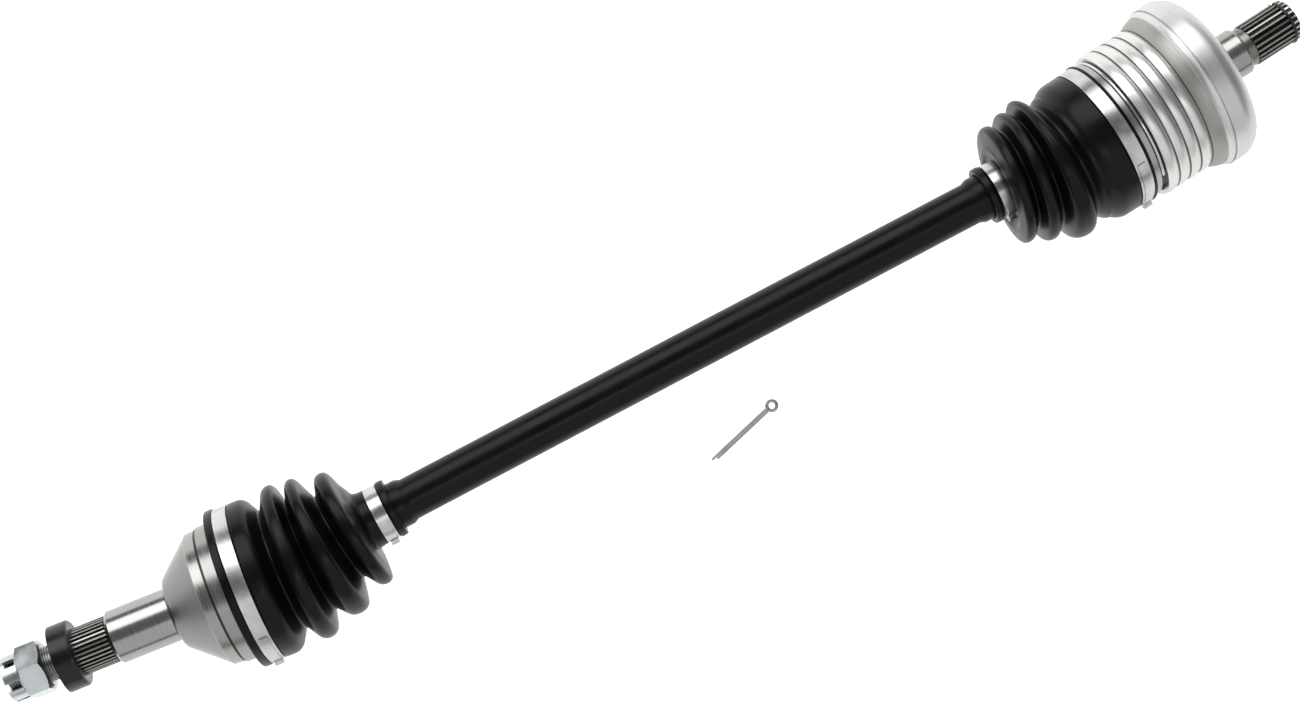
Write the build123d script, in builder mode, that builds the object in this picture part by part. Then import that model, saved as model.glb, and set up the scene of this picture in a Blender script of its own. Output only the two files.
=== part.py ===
"""CV axle: a drive shaft with a fixed ball joint at the wheel end and a plunging ball joint at the gearbox end.

Millimetres. X runs along the bar from the wheel end to the gearbox end, Z is up, and the origin is the
middle of the bar. Each joint rests slightly bent about Z, so each body has its own frame: its X is that
body's axis, its Z is up.
"""
from build123d import *
from math import cos, pi, radians, sin, sqrt, tan
import os

os.makedirs("parts", exist_ok=True)

# ---------------------------------------------------------------- layout
joint_spacing = 612.0  # between the two joint centres
outer_bend = 5.9  # bend of the wheel-end joint at rest, degrees
inner_bend = 4.9  # bend of the gearbox-end joint at rest, degrees

# ---------------------------------------------------------------- shares and clearances
fit_clearance = 0.05  # between pieces that seat on each other
running_clearance = 0.1  # between pieces that turn or slide on each other
rubber_clearance = 0.2  # between a boot and what it seats on
tooth_root_share = 0.36  # half width of a spline tooth at its root, of the pitch
tooth_tip_share = 0.18
mouth_chamfer = 1.0  # round both joints' mouths
cut_margin = 1.0  # how far a cut runs past what it cuts

# ---------------------------------------------------------------- bar
bar_radius = 13.0
seat_radius = 14.5  # raised seat under each boot's small end
neck_radius = 12.4  # between a seat and its race
seat_taper = 3.6  # length of the cone from a seat to the bar
seat_inboard = 15.0  # from the middle of a small clamp to the end of its seat
seat_outboard = 12.0  # the other way, inside the boot
bar_end = 15.5  # from a joint centre to the end of the bar
race_spline_teeth = 24
race_spline_radius = 11.6
race_spline_depth = 1.1

# ---------------------------------------------------------------- ball joints
ball_radius = 8.5
ball_count = 6
cage_half_width = 11.5
race_half_width = 11.0
race_track_angle = 60.0  # each track runs this far both ways
cage_wall = 5.6
cage_clearance = 0.2  # between the spheres of race, cage and outer race
window_length = 21.0  # round the cage
window_corner = 4.0
circlip_wire = 1.0  # radius of the wire in both race circlips
circlip_gap_angle = 30.0

outer_pitch_radius = 30.0
outer_track_play = 2.0  # sideways each way, lets the balls wander as the joint bends
inner_pitch_radius = 29.0
inner_track_play = 0.5

# ---------------------------------------------------------------- outer bell, distances outboard of its joint centre
bell_mouth = 13.0  # inboard of the centre
bell_seat_radius = 45.0  # under the boot
bell_seat_end = 8.0
bell_band_radius = 42.8
bell_band_width = 7.0
bell_groove_width = 1.0
bell_groove_depth = 0.8
bell_shoulder_radius = 41.8
bell_shoulder_end = 22.5
bell_shoulder_drop = 0.4
bell_back = 45.2  # back face, where the journal starts
bell_back_radius = 21.2  # where the cone would meet the back face
bell_back_fillet = 6.0
bell_cavity_radius = 34.5
bell_mouth_radius = 37.5
bell_mouth_chamfer = 3.0
track_angle_mouth = 60.0  # how far each track runs from the centre plane
track_angle_back = 46.0

hub_journal_radius = 16.4
hub_journal_length = 39.6
hub_journal_chamfer = 2.4
hub_spline_teeth = 34
hub_spline_radius = 14.5
hub_spline_depth = 1.3
hub_spline_length = 20.5
hub_thread_radius = 11.0
hub_thread_pitch = 1.5
hub_thread_depth = 0.92
hub_thread_length = 43.6
hub_thread_chamfer = 1.2
thread_root_width = 0.3
cotter_hole_radius = 2.1

# ---------------------------------------------------------------- washer and castle nut
washer_radius = 20.7
washer_thickness = 12.5
washer_outboard_fillet = 4.5
washer_inboard_fillet = 2.0
washer_bore_clearance = 0.3
nut_gap = 7.0  # from washer to nut
nut_across_flats = 30.0
nut_hex_height = 16.0
nut_chamfer_angle = 30.0
nut_chamfer_reach = 1.6  # past the flats
nut_crown_radius = 14.0
nut_crown_height = 9.4
nut_crown_chamfer = 0.8
nut_slot_width = 5.2
nut_slots = 6
nut_turn = 101.5  # of one hexagon corner, degrees

# ---------------------------------------------------------------- boots and clamps
boot_wall = 2.0
boot_seat_wall = 2.8  # from the seat to the groove of a large clamp
boot_lip_height = 1.8  # beyond that groove
boot_neck_wall = 3.0
small_clamp_groove = 1.1
small_lip_height = 0.5  # beyond the neck
small_lip_length = 4.7
groove_step = 0.1  # length of each sloped step beside a clamp
clamp_thickness = 0.9
large_clamp_width = 8.6
small_clamp_width = 7.8
clamp_groove_play = 0.25  # on each side of a clamp
clamp_tongue_height = 0.8
clamp_tongue_share = 0.62  # of the clamp's width
clamp_ear_height = 3.2
clamp_ear_length = 7.0
clamp_ear_hole = 0.8
outer_large_tongue = (130.0, 166.0)  # where a clamp's tongue starts and ends, degrees round the axis
outer_large_ear = 170.0  # where its ear stands
outer_small_tongue = (58.0, 165.0)
outer_small_ear = 165.0
inner_large_tongue = (10.0, 60.0)
inner_large_ear = 5.0
inner_small_tongue = (5.0, 95.0)
inner_small_ear = 5.0

outer_large_clamp = 2.5  # middle of the clamp, from the joint centre towards the bar
outer_large_lip = 5.1  # length beyond the clamp's groove
outer_small_clamp = 90.5
outer_small_lip = 94.7  # where it starts
outer_neck_length = 6.8
outer_boot_bend = (8.0, 75.0)  # the boot turns between these distances
outer_folds = (  # share of the free length, drop below the large groove, half width
    (0.072, -1.0, 4.4),
    (0.233, 10.0, 0.8),
    (0.377, -0.7, 3.4),
    (0.486, 11.8, 0.8),
    (0.623, 3.0, 3.4),
    (0.761, 19.3, 0.8),
    (0.893, 9.6, 3.2),
)

inner_large_clamp = 28.8
inner_large_lip = 1.85
inner_small_clamp = 101.2
inner_small_lip = 105.9
inner_neck_length = 0.5
inner_boot_bend = (52.0, 95.0)
inner_folds = (
    (0.101, -0.6, 5.8),
    (0.297, 3.6, 0.9),
    (0.392, 7.8, 0.8),
    (0.543, -0.3, 3.2),
    (0.67, 10.8, 0.6),
    (0.768, 4.9, 2.4),
    (0.857, 14.8, 0.6),
    (0.954, 9.0, 2.5),
)

# ---------------------------------------------------------------- inner housing, distances inboard of its joint centre
housing_mouth = 35.0  # outboard of the centre
housing_bore_radius = 33.5
housing_bore_depth = 45.0
housing_seat_radius = 43.3  # under the boot
housing_ring_radius = 46.2
housing_ring_start = -22.2
housing_ring_end = -18.6
housing_groove_radius = 44.6
snap_wire = 1.1
snap_gap_angle = 24.0
snap_gap_azimuth = 155.0
housing_shoulder = -15.4  # the sleeve's mouth stands here
housing_body_radius = 42.0
housing_back = 48.5
ball_stop_wire = 1.0
ball_stop_inset = 2.2

gearbox_root_radius = 15.6  # inside the sleeve's hole
gearbox_journal_radius = 15.25
gearbox_journal_end = 72.6
gearbox_journal_fillet = 2.0
gearbox_neck_radius = 12.7
gearbox_neck_length = 5.2
gearbox_spline_teeth = 24
gearbox_spline_radius = 13.55
gearbox_spline_depth = 1.25
gearbox_spline_length = 31.6
gearbox_tip_chamfer = 1.5
stub_circlip_wire = 0.9
stub_circlip_inset = 5.0  # from the tip

# ---------------------------------------------------------------- finned sleeve, radii counted from its rib grooves
sleeve_wall = 6.45  # from the bore to those grooves
rib_count = 4
rib_pitch = 7.9
rib_groove_width = 0.7
rib_height = 1.1
flange_first = (24.3, 4.0)  # end of the first convex band: distance, height
flange_first_middle = (21.0, 2.9)
flange_second = (28.6, 5.9)
flange_second_middle = (27.0, 5.3)
flange_groove_width = 0.8
flange_groove_depth = 0.4
flange_height = 6.7
flange_crest = 38.0
flange_edge_middle = (44.0, 4.6)
flange_edge = (48.8, -0.7)
flange_back = 57.0
flange_back_radius = 24.0
sleeve_hole_play = 0.1  # round the stub

# ---------------------------------------------------------------- cotter pin
pin_radius = 1.75
pin_slit = 0.3
pin_length = 44.5
pin_long_leg = 3.0
pin_eye_radius = 3.1
pin_eye_wire = 1.1
pin_place = (3.9, -60.7)
pin_turn = 15.25


# ---------------------------------------------------------------- frames
def body_frame(center_x, angle):
    """Frame of a body whose axis leaves the bar's line at this angle about Z."""
    direction = (cos(radians(angle)), sin(radians(angle)), 0)
    return Plane(origin=(center_x, 0, 0), x_dir=direction, z_dir=(0, 0, 1))


def station(frame, distance):
    """Plane square to a frame's axis, at a distance along it; its Y is up."""
    return Plane(frame.origin + frame.x_dir * distance, x_dir=frame.y_dir, z_dir=frame.x_dir)


def axis_of(frame):
    return Axis(frame.origin, frame.x_dir)


outer_center = -joint_spacing / 2
inner_center = joint_spacing / 2
outer_bar = body_frame(outer_center, 180)
outer_middle = body_frame(outer_center, 180 - outer_bend / 2)
outer_stub = body_frame(outer_center, 180 - outer_bend)
inner_bar = body_frame(inner_center, 0)
inner_middle = body_frame(inner_center, inner_bend / 2)
inner_stub = body_frame(inner_center, inner_bend)

finished = []


def finish(part, label):
    """Names a finished piece and writes it."""
    part.label = label
    export_step(part, f"parts/{label}.step")
    finished.append(part)


# ---------------------------------------------------------------- shared forms
def spline_section(plane, tip_radius, depth, teeth, grow=0.0):
    """Cross-section of a splined shaft; grow makes the matching hole."""
    root_radius = tip_radius - depth
    pitch = 2 * pi * root_radius / teeth
    with BuildSketch(plane) as section:
        Circle(root_radius + grow)
        with PolarLocations(0, teeth):
            Polygon(
                (root_radius - depth, -tooth_root_share * pitch - grow),
                (tip_radius + grow, -tooth_tip_share * pitch - grow),
                (tip_radius + grow, tooth_tip_share * pitch + grow),
                (root_radius - depth, tooth_root_share * pitch + grow),
                align=None,
            )
    return section.sketch


def track_direction(frame, azimuth):
    """Unit vector square to a frame's axis: 0 is its Y, 90 is up."""
    return frame.y_dir * cos(radians(azimuth)) + frame.z_dir * sin(radians(azimuth))


def wire_ring(frame, distance, ring_radius, wire_radius, gap_angle, gap_azimuth=0.0):
    """Open ring of round wire, square to a frame's axis, with its gap about one azimuth."""
    middle = frame.origin + frame.x_dir * distance
    radial = track_direction(frame, gap_azimuth + gap_angle / 2)
    with BuildPart() as ring:
        with BuildSketch(Plane(middle, x_dir=radial, z_dir=frame.x_dir.cross(radial))):
            with Locations((ring_radius, 0)):
                Circle(wire_radius)
        revolve(axis=Axis(middle, frame.x_dir), revolution_arc=360 - gap_angle)
    return ring.part


ball_azimuths = [360 / ball_count * number for number in range(ball_count)]
track_radius = ball_radius + running_clearance


def race(frame, pitch_radius, sphere_radius, play):
    """Inner race: a ball-shaped ring with one curved track for each ball and a splined hole."""
    half = race_half_width
    edge_radius = sqrt(sphere_radius**2 - half**2)
    with BuildPart() as ring:
        with BuildSketch(frame):
            with BuildLine():
                Line((-half, 0), (-half, edge_radius))
                ThreePointArc((-half, edge_radius), (0, sphere_radius), (half, edge_radius))
                Line((half, edge_radius), (half, 0))
                Line((half, 0), (-half, 0))
            make_face()
        revolve(axis=axis_of(frame))
        for azimuth in ball_azimuths:
            radial = track_direction(frame, azimuth)
            start = radial * cos(radians(race_track_angle)) - frame.x_dir * sin(radians(race_track_angle))
            travel = frame.x_dir * cos(radians(race_track_angle)) + radial * sin(radians(race_track_angle))
            with BuildSketch(Plane(frame.origin, x_dir=start, z_dir=travel)):
                with Locations((pitch_radius, 0)):
                    SlotCenterToCenter(2 * play, 2 * track_radius, rotation=90)
            revolve(
                axis=Axis(frame.origin, start.cross(travel)),
                revolution_arc=2 * race_track_angle,
                mode=Mode.SUBTRACT,
            )
        hole = spline_section(
            station(frame, -half - cut_margin), race_spline_radius, race_spline_depth, race_spline_teeth, fit_clearance
        )
        extrude(hole, amount=2 * (half + cut_margin), dir=frame.x_dir, mode=Mode.SUBTRACT)
    return ring.part


def cage(frame, outer_radius, inner_radius):
    """Cage: a spherical ring with one window for each ball."""
    half = cage_half_width
    outer_edge = sqrt(outer_radius**2 - half**2)
    inner_edge = sqrt(inner_radius**2 - half**2)
    window_width = 2 * (ball_radius + fit_clearance)
    with BuildPart() as shell:
        with BuildSketch(frame):
            with BuildLine():
                ThreePointArc((-half, outer_edge), (0, outer_radius), (half, outer_edge))
                Line((half, outer_edge), (half, inner_edge))
                ThreePointArc((half, inner_edge), (0, inner_radius), (-half, inner_edge))
                Line((-half, inner_edge), (-half, outer_edge))
            make_face()
        revolve(axis=axis_of(frame))
        for azimuth in ball_azimuths:
            radial = track_direction(frame, azimuth)
            with BuildSketch(Plane(frame.origin, x_dir=frame.x_dir, z_dir=radial)):
                RectangleRounded(window_width, window_length, window_corner)
            extrude(amount=outer_radius + cut_margin, mode=Mode.SUBTRACT)
    return shell.part


def balls(frame, pitch_radius, azimuths):
    with BuildPart() as group:
        with Locations(*[frame.origin + track_direction(frame, azimuth) * pitch_radius for azimuth in azimuths]):
            Sphere(ball_radius)
    return group.part


# ---------------------------------------------------------------- bar
race_clip_at = race_half_width + circlip_wire + fit_clearance

with BuildPart() as axle_bar:
    with BuildSketch(Plane.XY):
        with BuildLine():
            outer_seat = outer_center + outer_small_clamp
            inner_seat = inner_center - inner_small_clamp
            Polyline(
                (outer_center - bar_end, 0),
                (outer_center - bar_end, race_spline_radius - race_spline_depth),
                (outer_center + race_half_width, race_spline_radius - race_spline_depth),
                (outer_center + race_half_width, neck_radius),
                (outer_seat - seat_outboard, neck_radius),
                (outer_seat - seat_outboard, seat_radius),
                (outer_seat + seat_inboard, seat_radius),
                (outer_seat + seat_inboard + seat_taper, bar_radius),
                (inner_seat - seat_inboard - seat_taper, bar_radius),
                (inner_seat - seat_inboard, seat_radius),
                (inner_seat + seat_outboard, seat_radius),
                (inner_seat + seat_outboard, neck_radius),
                (inner_center - race_half_width, neck_radius),
                (inner_center - race_half_width, race_spline_radius - race_spline_depth),
                (inner_center + bar_end, race_spline_radius - race_spline_depth),
                (inner_center + bar_end, 0),
                close=True,
            )
        make_face()
    revolve(axis=Axis.X)
    for frame in (outer_bar, inner_bar):
        end_spline = spline_section(
            station(frame, -race_half_width), race_spline_radius, race_spline_depth, race_spline_teeth
        )
        extrude(end_spline, amount=race_half_width + bar_end, dir=frame.x_dir)
        with BuildSketch(frame):
            with Locations((race_clip_at, race_spline_radius)):
                Circle(circlip_wire + fit_clearance)
        revolve(axis=axis_of(frame), mode=Mode.SUBTRACT)
finish(axle_bar.part, "axle_bar")


# ---------------------------------------------------------------- joint internals
def race_circlip(frame):
    return wire_ring(frame, race_clip_at, race_spline_radius, circlip_wire, circlip_gap_angle)


outer_cage_radius = bell_cavity_radius - cage_clearance
outer_race_radius = outer_cage_radius - cage_wall - cage_clearance
inner_cage_radius = housing_bore_radius - cage_clearance
inner_race_radius = inner_cage_radius - cage_wall - cage_clearance
middle_azimuths = [azimuth for azimuth in ball_azimuths if azimuth % 180 != 0]

finish(race(outer_bar, outer_pitch_radius, outer_race_radius, outer_track_play), "outer_joint_race")
finish(cage(outer_middle, outer_cage_radius, outer_race_radius + cage_clearance), "outer_joint_cage")
finish(balls(outer_middle, outer_pitch_radius, middle_azimuths), "outer_joint_balls")
finish(balls(outer_middle, outer_pitch_radius, [180]), "outer_joint_lead_ball")
finish(balls(outer_middle, outer_pitch_radius, [0]), "outer_joint_follow_ball")
finish(race_circlip(outer_bar), "outer_race_circlip")

finish(race(inner_bar, inner_pitch_radius, inner_race_radius, inner_track_play), "inner_joint_race")
finish(cage(inner_middle, inner_cage_radius, inner_race_radius + cage_clearance), "inner_joint_cage")
finish(balls(inner_middle, inner_pitch_radius, middle_azimuths), "inner_joint_balls")
finish(balls(inner_middle, inner_pitch_radius, [0]), "inner_joint_lead_ball")
finish(balls(inner_middle, inner_pitch_radius, [180]), "inner_joint_follow_ball")
finish(race_circlip(inner_bar), "inner_race_circlip")

# ---------------------------------------------------------------- outer bell with its stub
hub_spline_start = bell_back + hub_journal_length
hub_thread_start = hub_spline_start + hub_spline_length
hub_end = hub_thread_start + hub_thread_length
washer_start = hub_thread_start + fit_clearance
nut_start = washer_start + washer_thickness + nut_gap
cotter_at = nut_start + nut_hex_height + nut_crown_height / 2
slot_turn = nut_turn + 180 / nut_slots
cotter_turn = slot_turn + 360 / nut_slots
thread_turns = int((hub_thread_length - hub_thread_chamfer) / hub_thread_pitch) - 1
thread_points = []
for turn in range(thread_turns):
    crest = hub_thread_start + (turn + 1) * hub_thread_pitch
    root = crest + hub_thread_pitch / 2
    thread_points.append((crest, hub_thread_radius))
    thread_points.append((root - thread_root_width / 2, hub_thread_radius - hub_thread_depth))
    thread_points.append((root + thread_root_width / 2, hub_thread_radius - hub_thread_depth))

with BuildPart() as outer_bell:
    with BuildSketch(outer_stub):
        with BuildLine():
            Polyline(
                (-bell_mouth, 0),
                (-bell_mouth, bell_seat_radius - mouth_chamfer),
                (mouth_chamfer - bell_mouth, bell_seat_radius),
                (bell_seat_end, bell_seat_radius),
                (bell_seat_end, bell_band_radius),
                (bell_seat_end + bell_band_width, bell_band_radius),
                (bell_seat_end + bell_band_width, bell_band_radius - bell_groove_depth),
                (bell_seat_end + bell_band_width + bell_groove_width, bell_band_radius - bell_groove_depth),
                (bell_seat_end + bell_band_width + bell_groove_width, bell_shoulder_radius),
                (bell_shoulder_end, bell_shoulder_radius - bell_shoulder_drop),
                (bell_back, bell_back_radius),
                (bell_back, hub_journal_radius),
                (hub_spline_start - hub_journal_chamfer, hub_journal_radius),
                (hub_spline_start, hub_journal_radius - hub_journal_chamfer),
                (hub_spline_start, hub_spline_radius - hub_spline_depth),
                (hub_thread_start, hub_spline_radius - hub_spline_depth),
                (hub_thread_start, hub_thread_radius),
                *thread_points,
                (hub_end - hub_thread_chamfer, hub_thread_radius),
                (hub_end, hub_thread_radius - hub_thread_chamfer),
                (hub_end, 0),
                close=True,
            )
        make_face()
        fillet(vertices().sort_by_distance((bell_back, bell_back_radius))[0], bell_back_fillet)
    revolve(axis=axis_of(outer_stub))
    extrude(
        spline_section(station(outer_stub, hub_spline_start), hub_spline_radius, hub_spline_depth, hub_spline_teeth),
        amount=hub_spline_length,
        dir=outer_stub.x_dir,
    )
    with BuildSketch(outer_stub):
        with BuildLine():
            cone_end = bell_mouth_chamfer - bell_mouth
            cone_radius = sqrt(bell_cavity_radius**2 - cone_end**2)
            Polyline(
                (bell_cavity_radius, 0),
                (-bell_mouth - cut_margin, 0),
                (-bell_mouth - cut_margin, bell_mouth_radius),
                (-bell_mouth, bell_mouth_radius),
                (cone_end, cone_radius),
            )
            ThreePointArc((cone_end, cone_radius), (0, bell_cavity_radius), (bell_cavity_radius, 0))
        make_face()
    revolve(axis=axis_of(outer_stub), mode=Mode.SUBTRACT)
    for azimuth in ball_azimuths:
        radial = track_direction(outer_stub, azimuth)
        start = radial * cos(radians(track_angle_mouth)) - outer_stub.x_dir * sin(radians(track_angle_mouth))
        travel = outer_stub.x_dir * cos(radians(track_angle_mouth)) + radial * sin(radians(track_angle_mouth))
        with BuildSketch(Plane(outer_stub.origin, x_dir=start, z_dir=travel)):
            with Locations((outer_pitch_radius, 0)):
                SlotCenterToCenter(2 * outer_track_play, 2 * track_radius, rotation=90)
        revolve(
            axis=Axis(outer_stub.origin, start.cross(travel)),
            revolution_arc=track_angle_mouth + track_angle_back,
            mode=Mode.SUBTRACT,
        )
    cotter_middle = outer_stub.origin + outer_stub.x_dir * cotter_at
    with BuildSketch(Plane(cotter_middle, x_dir=outer_stub.x_dir, z_dir=track_direction(outer_stub, cotter_turn))):
        Circle(cotter_hole_radius)
    extrude(amount=hub_thread_radius + cut_margin, both=True, mode=Mode.SUBTRACT)
finish(outer_bell.part, "outer_bell")

# ---------------------------------------------------------------- washer and castle nut
thread_bore = hub_thread_radius + fit_clearance

with BuildPart() as hub_washer:
    with BuildSketch(outer_stub):
        with BuildLine():
            Polyline(
                (washer_start, thread_bore + washer_bore_clearance),
                (washer_start, washer_radius),
                (washer_start + washer_thickness, washer_radius),
                (washer_start + washer_thickness, thread_bore + washer_bore_clearance),
                close=True,
            )
        make_face()
        inboard_rim = vertices().sort_by_distance((washer_start, washer_radius))[0]
        outboard_rim = vertices().sort_by_distance((washer_start + washer_thickness, washer_radius))[0]
        fillet(inboard_rim, washer_inboard_fillet)
        fillet(outboard_rim, washer_outboard_fillet)
    revolve(axis=axis_of(outer_stub))
finish(hub_washer.part, "hub_washer")

nut_corner_radius = nut_across_flats / sqrt(3)
chamfer_rise = (nut_corner_radius - nut_across_flats / 2) * tan(radians(nut_chamfer_angle)) * nut_chamfer_reach
nut_hex_end = nut_start + nut_hex_height
nut_end = nut_hex_end + nut_crown_height

with BuildPart() as castle_nut:
    with BuildSketch(station(outer_stub, nut_start)):
        RegularPolygon(nut_corner_radius, 6, rotation=nut_turn)
    extrude(amount=nut_hex_height, dir=outer_stub.x_dir)
    with BuildSketch(outer_stub):
        Polygon(
            (nut_start, 0),
            (nut_start, nut_corner_radius - chamfer_rise / tan(radians(nut_chamfer_angle))),
            (nut_start + chamfer_rise, nut_corner_radius),
            (nut_hex_end - chamfer_rise, nut_corner_radius),
            (nut_hex_end, nut_corner_radius - chamfer_rise / tan(radians(nut_chamfer_angle))),
            (nut_hex_end, 0),
            align=None,
        )
    revolve(axis=axis_of(outer_stub), mode=Mode.INTERSECT)
    with BuildSketch(outer_stub):
        Polygon(
            (nut_hex_end - cut_margin, 0),
            (nut_hex_end - cut_margin, nut_crown_radius),
            (nut_end - nut_crown_chamfer, nut_crown_radius),
            (nut_end, nut_crown_radius - nut_crown_chamfer),
            (nut_end, 0),
            align=None,
        )
    revolve(axis=axis_of(outer_stub))
    with BuildSketch(station(outer_stub, nut_hex_end)):
        with PolarLocations(0, nut_slots // 2, start_angle=slot_turn):
            SlotOverall(2 * nut_corner_radius + 2 * nut_slot_width, nut_slot_width)
    extrude(amount=nut_crown_height + cut_margin, dir=outer_stub.x_dir, mode=Mode.SUBTRACT)
    with BuildSketch(station(outer_stub, nut_start)):
        Circle(thread_bore)
    extrude(amount=nut_end - nut_start, dir=outer_stub.x_dir, mode=Mode.SUBTRACT)
finish(castle_nut.part, "castle_nut")

# ---------------------------------------------------------------- inner housing with its stub
gearbox_spline_start = gearbox_journal_end + gearbox_neck_length
gearbox_end = gearbox_spline_start + gearbox_spline_length
gearbox_spline_root = gearbox_spline_radius - gearbox_spline_depth
stub_circlip_at = gearbox_end - stub_circlip_inset
ball_stop_at = ball_stop_inset - housing_mouth
snap_ring_at = (housing_ring_end + housing_shoulder) / 2
snap_ring_radius = housing_groove_radius + snap_wire + fit_clearance

with BuildPart() as inner_housing:
    with BuildSketch(inner_stub):
        Polygon(
            (-housing_mouth, 0),
            (-housing_mouth, housing_seat_radius - mouth_chamfer),
            (mouth_chamfer - housing_mouth, housing_seat_radius),
            (housing_ring_start, housing_seat_radius),
            (housing_ring_start, housing_ring_radius),
            (housing_ring_end, housing_ring_radius),
            (housing_ring_end, housing_groove_radius),
            (housing_shoulder, housing_groove_radius),
            (housing_shoulder, housing_body_radius),
            (housing_back, housing_body_radius),
            (housing_back, gearbox_root_radius),
            (flange_back, gearbox_root_radius),
            (flange_back, gearbox_journal_radius),
            (gearbox_journal_end, gearbox_journal_radius),
            (gearbox_journal_end, gearbox_neck_radius),
            (gearbox_spline_start, gearbox_neck_radius),
            (gearbox_spline_start, gearbox_spline_root),
            (gearbox_end, gearbox_spline_root),
            (gearbox_end, 0),
            align=None,
        )
        journal_rim = vertices().sort_by_distance((gearbox_journal_end, gearbox_journal_radius))[0]
        fillet(journal_rim, gearbox_journal_fillet)
    revolve(axis=axis_of(inner_stub))
    extrude(
        spline_section(
            station(inner_stub, gearbox_spline_start), gearbox_spline_radius, gearbox_spline_depth, gearbox_spline_teeth
        ),
        amount=gearbox_spline_length,
        dir=inner_stub.x_dir,
    )
    with BuildSketch(inner_stub):
        Polygon(
            (gearbox_end - gearbox_tip_chamfer - cut_margin, gearbox_spline_radius + cut_margin),
            (gearbox_end + cut_margin, gearbox_spline_radius + cut_margin),
            (gearbox_end + cut_margin, gearbox_spline_radius - gearbox_tip_chamfer - cut_margin),
            align=None,
        )
    revolve(axis=axis_of(inner_stub), mode=Mode.SUBTRACT)
    with BuildSketch(inner_stub):
        with Locations((stub_circlip_at, gearbox_spline_radius)):
            Circle(stub_circlip_wire + fit_clearance)
    revolve(axis=axis_of(inner_stub), mode=Mode.SUBTRACT)
    with BuildSketch(station(inner_stub, -housing_mouth)):
        Circle(housing_bore_radius)
        with PolarLocations(inner_pitch_radius, ball_count):
            SlotCenterToCenter(2 * inner_track_play, 2 * track_radius, rotation=90)
    extrude(amount=housing_mouth + housing_bore_depth, dir=inner_stub.x_dir, mode=Mode.SUBTRACT)
    with BuildSketch(inner_stub):
        with Locations((ball_stop_at, housing_bore_radius)):
            Circle(ball_stop_wire + fit_clearance)
    revolve(axis=axis_of(inner_stub), mode=Mode.SUBTRACT)
finish(inner_housing.part, "inner_housing")

finish(wire_ring(inner_stub, ball_stop_at, housing_bore_radius, ball_stop_wire, circlip_gap_angle), "ball_stop_ring")
finish(wire_ring(inner_stub, snap_ring_at, snap_ring_radius, snap_wire, snap_gap_angle, snap_gap_azimuth), "sleeve_snap_ring")
finish(
    wire_ring(inner_stub, stub_circlip_at, gearbox_spline_radius, stub_circlip_wire, circlip_gap_angle),
    "stub_circlip",
)

# ---------------------------------------------------------------- finned sleeve
sleeve_start = housing_shoulder + fit_clearance
sleeve_bore = housing_body_radius + fit_clearance
sleeve_hole = gearbox_root_radius + sleeve_hole_play

rib_groove_radius = sleeve_bore + sleeve_wall


def sleeve_point(distance, height):
    return distance, rib_groove_radius + height


with BuildPart() as finned_sleeve:
    with BuildSketch(inner_stub):
        with BuildLine():
            for rib in range(rib_count):
                rib_start = sleeve_start + rib * rib_pitch
                rib_end = rib_start + rib_pitch - rib_groove_width
                ThreePointArc(
                    sleeve_point(rib_start, 0),
                    sleeve_point((rib_start + rib_end) / 2, rib_height),
                    sleeve_point(rib_end, 0),
                )
                Line(sleeve_point(rib_end, 0), sleeve_point(rib_start + rib_pitch, 0))
            first_start = sleeve_point(sleeve_start + rib_count * rib_pitch, 0)
            second_start = sleeve_point(flange_first[0] + flange_groove_width, flange_first[1])
            crest_start = sleeve_point(flange_second[0] + flange_groove_width, flange_height)
            Line((sleeve_start, sleeve_bore), sleeve_point(sleeve_start, 0))
            ThreePointArc(first_start, sleeve_point(*flange_first_middle), sleeve_point(*flange_first))
            Polyline(
                sleeve_point(*flange_first),
                sleeve_point(flange_first[0], flange_first[1] - flange_groove_depth),
                sleeve_point(flange_first[0] + flange_groove_width, flange_first[1] - flange_groove_depth),
                second_start,
            )
            ThreePointArc(second_start, sleeve_point(*flange_second_middle), sleeve_point(*flange_second))
            Polyline(
                sleeve_point(*flange_second),
                sleeve_point(flange_second[0], flange_second[1] - flange_groove_depth),
                sleeve_point(flange_second[0] + flange_groove_width, flange_second[1] - flange_groove_depth),
                crest_start,
                sleeve_point(flange_crest, flange_height),
            )
            ThreePointArc(
                sleeve_point(flange_crest, flange_height),
                sleeve_point(*flange_edge_middle),
                sleeve_point(*flange_edge),
            )
            Polyline(
                sleeve_point(*flange_edge),
                (flange_back, flange_back_radius),
                (flange_back, sleeve_hole),
                (housing_back + fit_clearance, sleeve_hole),
                (housing_back + fit_clearance, sleeve_bore),
                (sleeve_start, sleeve_bore),
            )
        make_face()
    revolve(axis=axis_of(inner_stub))
finish(finned_sleeve.part, "finned_sleeve")


# ---------------------------------------------------------------- boots
def boot_frame(center_x, start_angle, end_angle, bend, distance):
    """Frame of a boot at a distance from its joint: it turns from the housing's line to the bar's."""
    share = min(max((distance - bend[0]) / (bend[1] - bend[0]), 0), 1)
    eased = share * share * (3 - 2 * share)
    return body_frame(center_x, start_angle + (end_angle - start_angle) * eased)


def outer_boot_frame(distance):
    return boot_frame(outer_center, -outer_bend, 0, outer_boot_bend, distance)


def inner_boot_frame(distance):
    return boot_frame(inner_center, 180 + inner_bend, 180, inner_boot_bend, distance)


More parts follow.
